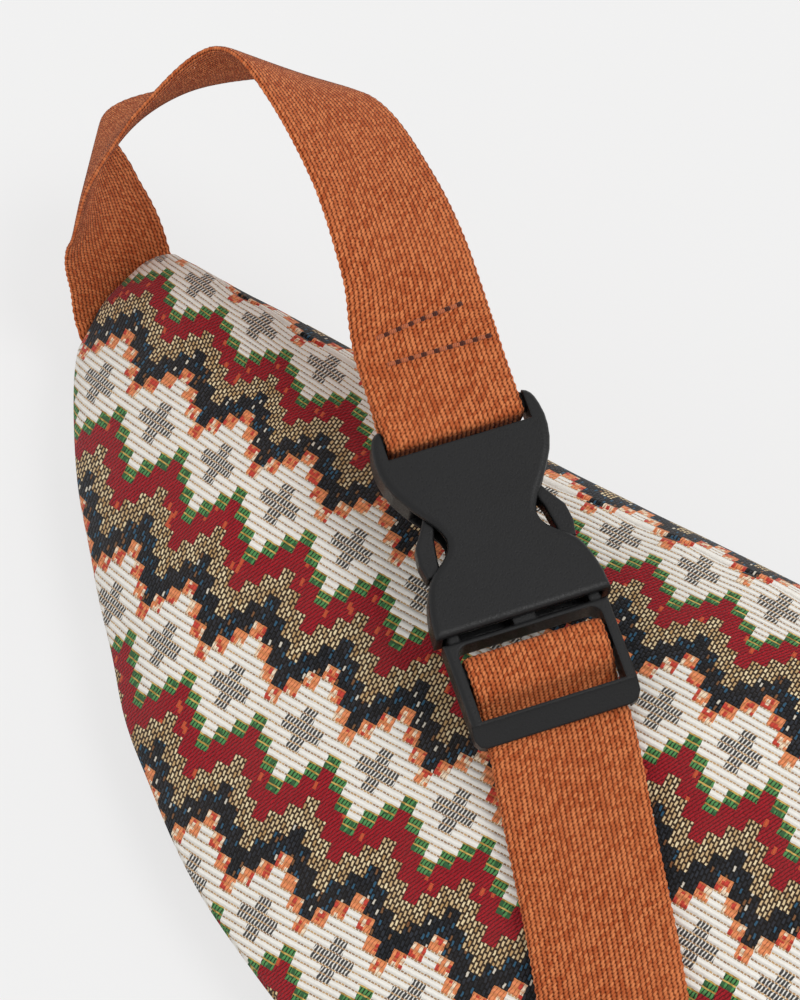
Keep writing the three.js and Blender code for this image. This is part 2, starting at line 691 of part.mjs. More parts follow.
function addShortStrap() {
  const route = [
    [[-TIP_STRAP_INSIDE, TIP_STRAP_Y, SEAM_HEIGHT], [0, 1, 0]],
    [[-HALF_LENGTH + 3, TIP_STRAP_Y, SEAM_HEIGHT], [0, 1, 0]],
    [[-HALF_LENGTH - 3, TIP_STRAP_Y, SEAM_HEIGHT + 0.3], [0, 1, 0]],
    [[-HALF_LENGTH - 7, TIP_STRAP_Y + 0.8, SEAM_HEIGHT + 7], [0, 1, -0.02]],
    [[-199.8, 3.6, 47.7], [-0.1, 0.93, -0.34]],
    [[-197.6, 13.8, 71.9], [-0.17, 0.9, -0.4]],
    [[-184.1, 25, 91.3], [0.13, 0.8, -0.58]],
    [[-165.9, 33.2, 108.2], [0.33, 0.65, -0.68]],
    [[-141, 27.5, 115.2], [0.36, 0.72, -0.6]],
    [[-117.7, 14.5, 112.6], [0.41, 0.8, -0.43]],
    [[-97.7, -0.6, 102.8], [0.51, 0.83, -0.25]],
    [onBuckle(-30, 11.8).toArray(), across.toArray()],
    [onBuckle(-19, 9.6).toArray(), across.toArray()],
    [onBuckle(-10, 9.3).toArray(), across.toArray()],
  ];
  const loop = smoothRun(route, 56);
  const turn = roundBar(-BAR_DEPTH, 3, 8, 1).map(([v, w]) => [onBuckle(v, w), across]);
  const tail = [
    [-9, 1.7],
    [-12, 2.6],
    [-15.5, 4.9],
    [-19, 6.7],
    [-23, 7.9],
    [-27, 8.9],
    [-31, 9.8],
  ].map(([v, w]) => [onBuckle(v, w), across]);
  const run = [...loop, ...turn, ...tail];
  const gather = gatherFrom(run[0][0]);
  place("short_strap", ribbon(run.map(([p]) => p), run.map(([, g]) => g), gather), webMaterial);
}

// A point of a strap that lies on the back panel, and the direction across it
function onBack(x, y, lift, heading) {
  const slope = 2;
  const up = new THREE.Vector3(
    backHeight(x - slope, y) - backHeight(x + slope, y),
    backHeight(x, y - slope) - backHeight(x, y + slope),
    2 * slope,
  ).normalize();
  const side = up.clone().cross(heading).normalize();
  const point = new THREE.Vector3(x, y, backHeight(x, y)).addScaledVector(up, lift);
  return [point.toArray(), side.toArray()];
}

function addLongStrap() {
  const low = LAYER_GAP + WEB_THICK / 2;
  const high = low + WEB_THICK + LAYER_GAP;
  const v0 = SOCKET_LENGTH + FIT;
  const heading = new THREE.Vector3(0.68, -0.73, 0);
  const crossing = [
    [12, -90],
    [26, -105],
    [40, -120],
    [50, -131],
  ];
  const under = crossing.map(([x, y], i) => onBack(x, y, low + (i ? 0 : 1.2), heading)).reverse();
  const over = crossing.map(([x, y], i) => onBack(x, y, high + (i ? 0 : 1.2), heading));
  const local = (v, w) => [onBuckle(v, w).toArray(), across.toArray()];
  const barV = v0 + 6.6;
  const tail = smoothRun([...under, local(v0 + 28, -0.3), local(v0 + 21, -0.3), local(barV + 5, 1.2)], 28);
  const turn = roundBar(barV, 3, 7, -1).reverse().map(([v, w]) => [onBuckle(v, w), across]);
  const main = smoothRun(
    [
      local(barV + 4.6, 8.6),
      local(v0 + 15.2, 6.9),
      local(v0 + 17.8, 3.9),
      local(v0 + 20.2, 2.1),
      local(v0 + 24, 2),
      local(v0 + 28, 1.8),
      ...over,
      [[60, -143, 33], [0.72, 0.66, 0.2]],
      [[76, -162, 22], [0.5, 0.45, 0.74]],
      [[98, -182, 19.4], [0.15, 0.12, 0.98]],
      [[135, -201, 19.3], [0, 0, 1]],
      [[180, -204, 19.3], [0, 0, 1]],
      [[222, -183, 19.3], [0, 0, 1]],
      [[248, -142, 19.3], [0, 0, 1]],
      [[254, -95, 19.3], [0, 0, 1]],
      [[243, -50, 20], [0, 0.25, 0.97]],
      [[224, -24, 21], [0.05, 0.7, 0.7]],
      [[206, -11, 20.6], [0, 0.99, 0.12]],
      [[HALF_LENGTH + 2, TIP_STRAP_Y, SEAM_HEIGHT], [0, 1, 0]],
      [[HALF_LENGTH - 3, TIP_STRAP_Y, SEAM_HEIGHT], [0, 1, 0]],
      [[TIP_STRAP_INSIDE, TIP_STRAP_Y, SEAM_HEIGHT], [0, 1, 0]],
    ],
    96,
  );
  const run = [...tail, ...turn, ...main];
  const gather = gatherFrom(run[run.length - 1][0]);
  place("long_strap", ribbon(run.map(([p]) => p), run.map(([, g]) => g), gather), webMaterial);
}

addPanels();
addTapes();
addTeeth();
addSlider();
addPull();
addLining();
addSocket();
addPlug();
addShortStrap();
addLongStrap();

bag.updateMatrixWorld(true);
export default bag;
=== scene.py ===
"""Looks of the belt bag: woven cloth, webbing, a moulded buckle and a metal zip.

Lengths are in metres, in the frame of the CAD part.
"""

import json
import math

import bpy
import numpy as np
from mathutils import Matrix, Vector


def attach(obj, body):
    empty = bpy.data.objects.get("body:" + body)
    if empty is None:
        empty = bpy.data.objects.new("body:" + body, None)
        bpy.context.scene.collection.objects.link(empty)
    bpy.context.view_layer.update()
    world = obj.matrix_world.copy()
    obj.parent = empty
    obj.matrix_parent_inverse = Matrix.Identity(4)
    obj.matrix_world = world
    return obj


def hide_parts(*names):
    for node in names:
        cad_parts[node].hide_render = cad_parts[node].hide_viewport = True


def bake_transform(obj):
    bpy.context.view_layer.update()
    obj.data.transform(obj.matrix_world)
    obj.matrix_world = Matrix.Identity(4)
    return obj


MM = 0.001

# Camera: the photograph's angle on the bag, from above and to the right of the tip
CAMERA_AZIMUTH = math.radians(32.622)
CAMERA_ELEVATION = math.radians(60)
CAMERA_DISTANCE = 1.1
CAMERA_TARGET = Vector((-79.14, 47.69, 50)) * MM
IMAGE_HEIGHT = 1000
PIXELS_PER_RADIAN = 4125
SENSOR = 36

# Body of the bag, as in the CAD part except for the wall's curve, the flanks and the corners.
# A place along the bag is a share of HALF_LENGTH, from -1 to 1.
HALF_LENGTH = 190 * MM
BAG_DEPTH = 167 * MM
SEAM_BOW = 1.8
SEAM_FLATTEN = 0.93
SEAM_HEIGHT = 20 * MM
TIP_LOW = 27 * MM
TIP_HIGH = 11 * MM
TIP_SLANT = 0.2
TIP_HALF_HEIGHT = 3 * MM
TIP_CROWN = 5.5 * MM
ZIP_EDGE_Y = -8 * MM
BACK_EDGE_RISE = 45 * MM
FRONT_EDGE_DROP = 11 * MM
DENT_X = -52 * MM
DENT_SPREAD = 60 * MM
DENT_DEPTH = 12 * MM
BACK_CROWN = 9 * MM
FRONT_CROWN = 17 * MM
PLUMP_POWER = 6
CROWN_ROUNDNESS = 0.7
TIP_ROUNDNESS = 0.35
WALL_CURVE = 2.3
FLANK_IN = 3.6 * MM
FLANK_FROM = 0.55
FLANK_OVER = 0.2
FLANK_BELOW = 10 * MM
FLANK_FADE = 18 * MM
CORNER_IN = 6.5 * MM
CORNER_POWER = 14
ZIP_Y = 7 * MM
ZIP_Z = 30 * MM
ZIP_PAST_EDGE = 1.5 * MM
REST_POINT_Y = 80 * MM
PANEL_THICK = 2.4 * MM
PANEL_EDGE = 1.5 * MM
STRIP_THICK = 1.6 * MM
STRIP_EDGE = 5.2 * MM
STRIP_EDGE_ROUND = 0.9 * MM
STRIP_FOLDS = 0.5
ZIP_HALF_LENGTH = 138 * MM

TAPE_INSET = 2.2 * MM
TAPE_THICK = 0.8 * MM
TAPE_NEAR = 3.1 * MM
TAPE_WIDTH = 10 * MM
TAPE_REACH = (ZIP_HALF_LENGTH + 20 * MM) / HALF_LENGTH
TAPE_EDGE = 0.4 * MM
TAPE_CLOSED = 0.2 * MM
EDGE_GAP = 0.15 * MM
LINING_INSET = 4.4 * MM
LINING_THICK = 0.6 * MM
LINING_EDGE = 0.3 * MM
LINING_REACH = 0.93
LINING_SEAM = 2 * MM
LINING_FROM_ZIP = 9 * MM
LEAST_THICK = 0.3 * MM
FINE_STEPS = 400

# Puckers: folds along the seams, and a slow unevenness of the stuffing
FOLD_DEPTH = 0.55 * MM
FOLD_LENGTH = 5.2 * MM
FOLD_DRIFT = 23 * MM
FOLD_REACH = 9 * MM
SLOW_DEPTH = 0.5 * MM
SLOW_LENGTH = 31 * MM
SLOW_WIDTH = 26 * MM
SLOW_FROM_SEAM = 20 * MM

# Woven pattern of the cloth
CELL_WIDTH = 3.93 * MM
CELL_HEIGHT = 4.05 * MM
BAND_ROWS = 12
PERIOD_COLUMNS = 6
PATTERN_U = 11.5 * MM
PATTERN_V = 3.7 * MM
PATTERN_SKEW = 0.068
SKEW_FROM = 46.5 * MM
EDGE_EASE = 9.7 * MM
EDGE_EASE_REACH = 24 * MM
WARPS_PER_CELL = 4
RIBS_PER_ROW = 2
LINE_SHARE = 0.22
ONE_ROW = 0.4
TWO_ROWS = 0.6

# Webbing
WEB_WIDTH = 38 * MM
WEB_THICK = 2 * MM
WALES = 29
STRAND_PITCH = 0.95 * MM


def make_camera():
    azimuth, elevation = CAMERA_AZIMUTH, CAMERA_ELEVATION
    back = Vector(
        (
            math.sin(azimuth) * math.cos(elevation),
            -math.cos(azimuth) * math.cos(elevation),
            math.sin(elevation),
        )
    )
    data = bpy.data.cameras.new("camera")
    data.sensor_fit = "VERTICAL"
    data.sensor_height = SENSOR
    data.sensor_width = SENSOR
    data.lens = SENSOR * PIXELS_PER_RADIAN / IMAGE_HEIGHT
    data.clip_start = 0.01
    camera = bpy.data.objects.new("camera", data)
    camera.location = CAMERA_TARGET + back * CAMERA_DISTANCE
    camera.rotation_euler = back.to_track_quat("Z", "Y").to_euler()
    bpy.context.scene.collection.objects.link(camera)
    bpy.context.scene.camera = camera


make_camera()
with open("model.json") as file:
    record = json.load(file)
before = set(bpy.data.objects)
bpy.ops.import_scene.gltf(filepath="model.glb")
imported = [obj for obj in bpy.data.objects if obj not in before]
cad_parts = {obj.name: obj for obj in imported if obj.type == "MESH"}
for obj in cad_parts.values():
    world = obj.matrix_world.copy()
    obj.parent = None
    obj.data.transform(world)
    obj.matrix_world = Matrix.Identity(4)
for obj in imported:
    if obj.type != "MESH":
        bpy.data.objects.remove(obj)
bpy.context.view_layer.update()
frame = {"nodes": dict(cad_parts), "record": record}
nodes = frame["nodes"]


# Node graphs


class Value:
    """A socket of a material's graph that takes part in arithmetic."""

    def __init__(self, graph, socket):
        self.graph = graph
        self.socket = socket

    def __add__(self, other):
        return self.graph.math("ADD", self, other)

    def __sub__(self, other):
        return self.graph.math("SUBTRACT", self, other)

    def __rsub__(self, other):
        return self.graph.math("SUBTRACT", other, self)

    def __mul__(self, other):
        return self.graph.math("MULTIPLY", self, other)

    def __truediv__(self, other):
        return self.graph.math("DIVIDE", self, other)


class Graph:
    """One material, with a short way to write its nodes."""

    def __init__(self, name):
        self.material = bpy.data.materials.new(name)
        self.material.use_nodes = True
        self.tree = self.material.node_tree
        self.tree.nodes.clear()

    def node(self, kind, **settings):
        made = self.tree.nodes.new(kind)
        for key, value in settings.items():
            setattr(made, key, value)
        return made

    def feed(self, socket, value):
        if isinstance(value, Value):
            self.tree.links.new(value.socket, socket)
        else:
            socket.default_value = value

    def math(self, operation, *values):
        made = self.node("ShaderNodeMath", operation=operation)
        for socket, value in zip(made.inputs, values):
            self.feed(socket, value)
        return Value(self, made.outputs[0])

    def floor(self, x):
        return self.math("FLOOR", x)

    def fract(self, x):
        return self.math("FRACT", x)

    def near(self, x, centre, reach):
        """1 where x is within reach of centre."""
        return self.math("COMPARE", x, centre, reach)

    def below(self, x, limit):
        """1 where x is less than limit; either may be the value."""
        return self.math("LESS_THAN", x, limit)

    def hump(self, x):
        """0 at both ends of a cell, 1 in its middle, for x from 0 to 1."""
        return self.math("SINE", x * math.pi)

    def ramp(self, x, low, high):
        """0 at low, 1 at high, smooth between."""
        made = self.node("ShaderNodeMapRange", interpolation_type="SMOOTHSTEP")
        for name, value in (("Value", x), ("From Min", low), ("From Max", high)):
            self.feed(made.inputs[name], value)
        return Value(self, made.outputs["Result"])

    def mix(self, share, a, b):
        """Colour a, or b where share is 1."""
        made = self.node("ShaderNodeMix", data_type="RGBA")
        self.feed(made.inputs[0], share)
        self.feed(made.inputs[6], a)
        self.feed(made.inputs[7], b)
        return Value(self, made.outputs[2])

    def uv(self):
        """The place on the cloth, across and down it, in metres."""
        made = self.node("ShaderNodeUVMap", uv_map="cloth")
        split = self.node("ShaderNodeSeparateXYZ")
        self.tree.links.new(made.outputs[0], split.inputs[0])
        return Value(self, split.outputs[0]), Value(self, split.outputs[1])

    def white_noise(self, x, y):
        """A random value for each pair of whole numbers."""
        place = self.node("ShaderNodeCombineXYZ")
        for socket, value in zip(place.inputs, (x, y)):
            self.feed(socket, value)
        made = self.node("ShaderNodeTexWhiteNoise", noise_dimensions="2D")
        self.tree.links.new(place.outputs[0], made.inputs["Vector"])
        return Value(self, made.outputs["Value"])

    def noise(self, scale, detail=2.0):
        where = self.node("ShaderNodeTexCoord")
        made = self.node("ShaderNodeTexNoise")
        self.tree.links.new(where.outputs["Object"], made.inputs["Vector"])
        made.inputs["Scale"].default_value = scale
        made.inputs["Detail"].default_value = detail
        return Value(self, made.outputs["Fac"])

    def finish(
        self,
        color,
        roughness,
        height,
        depth,
        metallic=0.0,
        sheen=0.0,
        specular=0.5,
        rounding=0.0,
    ):
        """The material, with height times depth as bump and edges rounded by rounding."""
        shader = self.node("ShaderNodeBsdfPrincipled")
        self.feed(shader.inputs["Base Color"], color)
        self.feed(shader.inputs["Roughness"], roughness)
        shader.inputs["Metallic"].default_value = metallic
        shader.inputs["Sheen Weight"].default_value = sheen
        shader.inputs["Specular IOR Level"].default_value = specular
        bump = self.node("ShaderNodeBump")
        bump.inputs["Strength"].default_value = 1.0
        bump.inputs["Distance"].default_value = depth
        self.feed(bump.inputs["Height"], height)
        if rounding:
            bevel = self.node("ShaderNodeBevel", samples=4)
            bevel.inputs["Radius"].default_value = rounding
            self.tree.links.new(bevel.outputs["Normal"], bump.inputs["Normal"])
        self.tree.links.new(bump.outputs["Normal"], shader.inputs["Normal"])
        out = self.node("ShaderNodeOutputMaterial")
        self.tree.links.new(shader.outputs[0], out.inputs["Surface"])
        return self.material


def srgb(r, g, b):
    """A colour given as 0 to 255 on screen, as Blender's linear values."""

    def linear(c):
        c = c / 255
        return c / 12.92 if c <= 0.04045 else ((c + 0.055) / 1.055) ** 2.4

    return (linear(r), linear(g), linear(b), 1.0)


def woven_cloth():
    """Bands of stepped zigzags with small crosses between them, drawn by counting cells."""
    g = Graph("woven_cloth")
    u, v = g.uv()
    wobble = g.noise(900, 1.0) - 0.5
    across = (u + wobble * (0.5 * MM)) / CELL_WIDTH
    down = (v + wobble * (0.3 * MM)) / CELL_HEIGHT
    column = g.floor(across)
    row = g.floor(down)
    band = g.floor(row / BAND_ROWS)
    r = row - band * BAND_ROWS
    half_period = PERIOD_COLUMNS / 2
    shifted = g.math("FLOORED_MODULO", column - band * half_period, PERIOD_COLUMNS)
    off_peak = g.math("MINIMUM", shifted, PERIOD_COLUMNS - shifted)
    step = r - off_peak - 1
    green = g.near(step, 0, ONE_ROW)
    red = g.near(step, 1.5, TWO_ROWS)
    tan = g.near(step, 3.5, TWO_ROWS)
    dark = g.near(step, 5.5, TWO_ROWS)
    orange = g.near(step, 7, ONE_ROW)
    arms = g.near(r, 0, ONE_ROW) * g.below(1.5, off_peak)
    foot = g.near(r, 1, ONE_ROW) * g.below(2.5, off_peak)
    head = g.near(r, BAND_ROWS - 1, ONE_ROW) * g.below(off_peak, 0.5)
    cross = arms + foot + head

    # Threads: warps run down the cloth and weft ribs across it
    warp = across * WARPS_PER_CELL
    rib = down * RIBS_PER_ROW
    warp_at = g.fract(warp)
    rib_at = g.fract(rib)
    stagger = g.math("FLOORED_MODULO", g.floor(warp), 2) * 0.5
    brick = g.fract(rib + stagger)
    brick_row = g.floor(rib + stagger)
    pick = g.white_noise(g.floor(warp), brick_row)
    pick2 = g.white_noise(g.floor(warp) + 37, brick_row + 11)
    line = g.below(rib_at, LINE_SHARE)
    dash = line * g.below(LINE_SHARE, warp_at)
    slanted = g.fract(warp + down * 0.9)
    twist = g.fract(warp + down * 2.2)
    bead = g.ramp(g.hump(warp_at), 0.35, 0.8) * g.ramp(g.hump(brick), 0.2, 0.6)
    fibre = g.noise(4000, 2.0)

    cream = g.mix(fibre, srgb(232, 226, 214), srgb(254, 252, 247))
    gold = g.mix(pick, srgb(128, 86, 44), srgb(196, 152, 92))
    cream = g.mix(dash * 0.92, cream, gold)
    cream = g.mix(line * (1 - dash) * 0.5, cream, srgb(214, 196, 168))

    bars = g.ramp(g.hump(slanted), 0.35, 0.75) * (1 - line)
    cross_color = g.mix(bars * 0.95, cream, srgb(30, 30, 32))

    # Green is darker between its slanted threads than on them: painted shade
    plump = g.ramp(g.hump(slanted), 0.2, 0.8)
    green_color = g.mix(plump, srgb(12, 24, 16), srgb(84, 146, 84))
    green_color = g.mix(g.below(0.8, pick2), green_color, srgb(52, 96, 58))
    yellow = g.mix(pick, srgb(150, 112, 40), srgb(212, 176, 96))
    green_color = g.mix(line, green_color, yellow)

    # Red is darker between its twisted threads than on them: painted shade
    plump = g.ramp(g.hump(twist), 0.1, 0.7)
    red_color = g.mix(plump, srgb(70, 6, 14), srgb(172, 22, 36))
    red_color = g.mix(pick * 0.35, red_color, srgb(120, 14, 24))
    red_color = g.mix(g.below(0.965, pick2) * 0.8, red_color, srgb(216, 96, 56))

    tan_tone = g.mix(pick, srgb(188, 150, 98), srgb(242, 222, 178))
    # Tan, and the dark cells below, are darker between their beads: painted shade
    tan_color = g.mix(bead, srgb(52, 34, 22), tan_tone)

    dark_tone = g.mix(pick, srgb(22, 24, 28), srgb(44, 48, 56))
    dark_tone = g.mix(g.below(0.86, pick2), dark_tone, srgb(44, 86, 112))
    dark_tone = g.mix(g.near(pick2, 0.015, 0.015), dark_tone, srgb(214, 206, 190))
    dark_tone = g.mix(g.near(pick2, 0.07, 0.03), dark_tone, srgb(124, 84, 52))
    dark_color = g.mix(bead, srgb(10, 10, 12), dark_tone)

    orange_color = g.mix(g.below(pick, 0.3), srgb(238, 146, 96), srgb(204, 68, 54))
    orange_color = g.mix(g.below(0.8, pick2), orange_color, srgb(248, 226, 196))
    # Orange is darker in the hollows between its threads: painted shade
    hollow = g.ramp(g.hump(slanted), 0.5, 0.1)
    orange_color = g.mix(hollow * 0.75, orange_color, srgb(120, 52, 30))
    orange_color = g.mix(line * 0.6, orange_color, srgb(190, 120, 66))

    color = g.mix(cross, cream, cross_color)
    for mask, part in (
        (green, green_color),
        (red, red_color),
        (tan, tan_color),
        (dark, dark_color),
        (orange, orange_color),
    ):
        color = g.mix(mask, color, part)
    shade = g.noise(60, 2.0)
    color = g.mix(g.ramp(shade, 0.3, 0.75) * 0.06, color, srgb(120, 100, 84))

    cord = g.hump(g.math("MAXIMUM", (rib_at - 0.2) / 0.8, 0.0))
    beaded = red + tan + dark
    height = cord * (1 - beaded) + bead * beaded * 0.8 + cross * bars * 0.4 + fibre * 0.15
    return g.finish(color, 0.82, height, 0.45 * MM, sheen=0.1, specular=0.2)


def webbing():
    """Ribs along the strap, each a row of slanted twisted strands."""
    g = Graph("webbing")
    u, v = g.uv()
    wobble = g.noise(500, 1.0) - 0.5
    across = (u + wobble * (0.2 * MM)) / (WEB_WIDTH / WALES)
    along = v / STRAND_PITCH
    wale = g.floor(across)
    wale_at = g.fract(across)
    place = along + wale_at * 0.9 + g.white_noise(wale, wale + 5)
    strand = g.fract(place)
    pick = g.white_noise(wale, g.floor(place))
    fibre = g.noise(4200, 3.0)
    body = g.hump(wale_at)
    plump = g.hump(strand)
    height = body * 0.75 + body * plump * 0.35 + fibre * 0.2
    light = g.ramp(pick * 0.5 + fibre * 0.8 - 0.15, 0.0, 1.0)
    tone = g.mix(light, srgb(172, 74, 32), srgb(236, 142, 88))
    shade = g.ramp(body * 0.6 + plump * 0.45, 0.15, 0.85)
    color = g.mix(shade, srgb(80, 24, 6), tone)
    patch = g.noise(35, 2.0)
    color = g.mix(g.ramp(patch, 0.35, 0.8) * 0.1, color, srgb(214, 122, 76))
    return g.finish(color, 0.85, height, 0.4 * MM, sheen=0.04, specular=0.1)


def thread(name, color):
    """A twisted sewing thread."""
    g = Graph(name)
    u, v = g.uv()
    twist = g.fract(v / (0.5 * MM) + u)
    height = g.hump(twist)
    # Darker in the grooves of the twist (painted shade) and by random tone
    dark = srgb(*[c * 0.6 for c in color])
    shown = g.mix(height * 0.6 + g.noise(3000) * 0.4, dark, srgb(*color))
    return g.finish(shown, 0.7, height, 0.1 * MM, sheen=0.2, specular=0.25)


def plastic():
    """Black moulded plastic with a fine spark-eroded grain and rounded edges."""
    g = Graph("black_plastic")
    grain = g.noise(2000, 3.0)
    broad = g.noise(45, 2.0)
    color = g.mix(broad, srgb(13, 13, 14), srgb(21, 21, 22))
    roughness = g.ramp(grain, 0.3, 0.7) * 0.22 + 0.27
    return g.finish(color, roughness, grain, 0.07 * MM, specular=0.32, rounding=0.9 * MM)


def zip_metal():
    """Dull brass with fine scratches."""
    g = Graph("zip_metal")
    scratch = g.noise(700, 4.0)
    color = g.mix(g.ramp(scratch, 0.35, 0.7), srgb(116, 98, 66), srgb(186, 162, 112))
    roughness = g.ramp(scratch, 0.2, 0.8) * 0.2 + 0.25
    return g.finish(color, roughness, scratch, 0.03 * MM, metallic=1.0)


def fine_weave(name, low, high, pitch):
    """A plain weave of thin threads, by place, for the tapes and the lining."""
    g = Graph(name)
    split = g.node("ShaderNodeSeparateXYZ")
    where = g.node("ShaderNodeTexCoord")
    g.tree.links.new(where.outputs["Object"], split.inputs[0])
    x, y, z = (Value(g, out) for out in split.outputs)
    a = x / pitch
    b = (z + y) / pitch
    over = g.math("FLOORED_MODULO", g.floor(a) + g.floor(b), 2)
    bump = over * g.hump(g.fract(a)) + (1 - over) * g.hump(g.fract(b))
    pick = g.white_noise(g.floor(a), g.floor(b))
    # Darker between the threads (painted shade) and random from thread to thread
    color = g.mix(bump * 0.7 + pick * 0.3, srgb(*low), srgb(*high))
    return g.finish(color, 0.85, bump, 0.2 * pitch, sheen=0.1, specular=0.2)


# Meshes


def mesh_object(name, points, faces, uvs=None):
    """A smooth mesh. points: (n, 3); uvs: (n, 2) or None; faces: lists of indices, turned round
    if they face inwards."""
    points = np.asarray(points, float)
    fans = np.array([(f[0], f[k], f[k + 1]) for f in faces for k in range(1, len(f) - 1)])
    a, b, c = (points[fans[:, k]] for k in range(3))
    if np.einsum("ij,ij->i", a, np.cross(b, c)).sum() < 0:
        faces = [f[::-1] for f in faces]
    mesh = bpy.data.meshes.new(name)
    mesh.from_pydata(points.tolist(), [], faces)
    if uvs is not None:
        layer = mesh.uv_layers.new(name="cloth")
        index = np.zeros(len(mesh.loops), int)
        mesh.loops.foreach_get("vertex_index", index)
        layer.data.foreach_set("uv", np.asarray(uvs, float)[index].ravel())
    mesh.polygons.foreach_set("use_smooth", [True] * len(mesh.polygons))
    mesh.validate()
    made = bpy.data.objects.new(name, mesh)
    bpy.context.scene.collection.objects.link(made)
    return made


def rings_to_faces(rows, count, caps=True):
    """Quads between rows of closed rings, with the first and last ring closed by a face each."""
    faces = []
    for i in range(rows - 1):
        this, following = i * count, (i + 1) * count
        for j in range(count):
            k = (j + 1) % count
            faces.append([this + j, this + k, following + k, following + j])
    if caps:
        faces.append(list(range(count))[::-1])
        faces.append([(rows - 1) * count + j for j in range(count)])
    return faces


# Body of the bag


def fullness(share, power):
    """1 in the middle of the bag, 0 at its tips; the higher the power, the later it falls."""
    return np.sqrt(np.clip(1 - np.abs(share) ** power, 0, 1))


def seam_y(share):
    bow = np.clip(1 - np.abs(share) ** SEAM_BOW, 0, 1) ** SEAM_FLATTEN
    return -(TIP_LOW + (BAG_DEPTH - TIP_LOW) * bow)


def zip_edge_y(share):
    return ZIP_EDGE_Y + (TIP_HIGH - ZIP_EDGE_Y) * np.abs(share) ** 4


def back_edge_z(share):
    dent = DENT_DEPTH * np.exp(-(((share * HALF_LENGTH - DENT_X) / DENT_SPREAD) ** 2))
    return SEAM_HEIGHT + TIP_HALF_HEIGHT + BACK_EDGE_RISE * fullness(share, 2) - dent


def crown(share, t):
    """How far a panel swells at t, from 0 at its edges to 1 in its middle."""
    roundness = TIP_ROUNDNESS + (CROWN_ROUNDNESS - TIP_ROUNDNESS) * fullness(share, PLUMP_POWER)
    return np.clip(4 * t * (1 - t), 0, 1) ** roundness


def lerp(a, b, t):
    return a + (b - a) * t


def smooth_step(t):
    t = np.clip(t, 0, 1)
    return t * t * (3 - 2 * t)


def body_point(share, q, inset):
    """Points of a skin inset below the outside: q runs 0 to 1 over the back panel, to 2 down to
    the zip, to 3 past it and to 4 under the front panel. All three may be arrays."""
    given = (np.asarray(a, float) for a in (share, q, inset))
    share, q, inset = np.broadcast_arrays(*given)
    plump = fullness(share, PLUMP_POWER)
    low = seam_y(share) + inset
    high = zip_edge_y(share) - inset
    back_z = back_edge_z(share) - inset
    front_z = SEAM_HEIGHT - TIP_HALF_HEIGHT - FRONT_EDGE_DROP * plump + inset
    zip_y = np.maximum(ZIP_Y, zip_edge_y(share) + ZIP_PAST_EDGE) - inset
    zip_z = lerp(SEAM_HEIGHT, ZIP_Z, np.minimum(1, plump * 1.25))
    t = np.clip(np.select([q <= 1, q <= 2, q <= 3], [q, q - 1, 3 - q], q - 3), 0, 1)
    ease = 1 - (1 - t) ** WALL_CURVE
    bulge = (TIP_CROWN + BACK_CROWN * plump) * crown(share, t)
    sag = (TIP_CROWN + FRONT_CROWN * plump) * crown(share, t)
    wall_y = lerp(high, zip_y, ease)
    y = np.select([q <= 1, q <= 3], [lerp(low, high, t), wall_y], lerp(high, low, t))
    z = np.select(
        [q <= 1, q <= 2, q <= 3],
        [lerp(SEAM_HEIGHT, back_z, t) + bulge, lerp(back_z, zip_z, t), lerp(front_z, zip_z, t)],
        np.maximum(inset, lerp(front_z, SEAM_HEIGHT, t) - sag),
    )
    slant = TIP_SLANT * (y + (TIP_LOW - TIP_HIGH) / 2) * np.abs(share) ** 6
    near_tip = smooth_step((np.abs(share) - FLANK_FROM) / FLANK_OVER)
    flank = FLANK_IN * near_tip * smooth_step(-(y + FLANK_BELOW) / FLANK_FADE)
    corner = CORNER_IN * np.clip(y / TIP_HIGH, 0, 1) ** 2 * np.abs(share) ** CORNER_POWER
    x = share * HALF_LENGTH - np.sign(share) * (slant + flank + corner)
    return np.stack([x, y + REST_POINT_Y, z], -1)


def run_length(points):
    """Distance along rows of points, from 0 at the start of each row."""
    steps = np.linalg.norm(np.diff(points, axis=1), axis=2)
    return np.concatenate([np.zeros((len(points), 1)), np.cumsum(steps, axis=1)], axis=1)


def puckers(share, s, total):
    """How far the cloth sinks in at s of the total length of cloth between its seams."""
    x = share * HALF_LENGTH
    to_seam = np.minimum(s, total - s)
    folds = 0.5 + 0.5 * np.sin(x / FOLD_LENGTH + 1.7 * np.sin(x / FOLD_DRIFT))
    near_seam = np.exp(-((to_seam / FOLD_REACH) ** 2))
    slow = 0.5 + 0.5 * np.sin(x / SLOW_LENGTH + 2.1) * np.sin(s / SLOW_WIDTH + 0.6)
    inside = np.clip(to_seam / SLOW_FROM_SEAM, 0, 1)
    return FOLD_DEPTH * folds * near_seam + SLOW_DEPTH * slow * inside


def pattern_place(x, down):
    """Where on the patterned cloth a point lies, down it from the zip's side. The cloth is
    skewed a little, and eased in along its edge."""
    u = x - PATTERN_SKEW * np.maximum(0, down - SKEW_FROM) + PATTERN_U
    v = down - EDGE_EASE * np.exp(-((down / EDGE_EASE_REACH) ** 2)) + PATTERN_V
    return u, v


def place_beyond(share, q, length, inset=0.0):
    """The place a length of cloth away from place q, measured round the loop."""
    probe = 0.02 * np.sign(length)
    moved = body_point(share, q, inset) - body_point(share, q + probe, inset)
    step = np.linalg.norm(moved, axis=-1)
    return q + length / (step / np.abs(probe))


def seam_edge(q, length):
    """An edge of cloth at a length of cloth beyond the seam at place q."""
    return lambda share: place_beyond(share, q, length)


def zip_edge(side, distance_at, inset=0.0):
    """An edge of cloth beside the zip's line, on its back (side -1) or its front (side 1)."""
    return lambda share: place_beyond(share, 2, side * distance_at(share), inset)


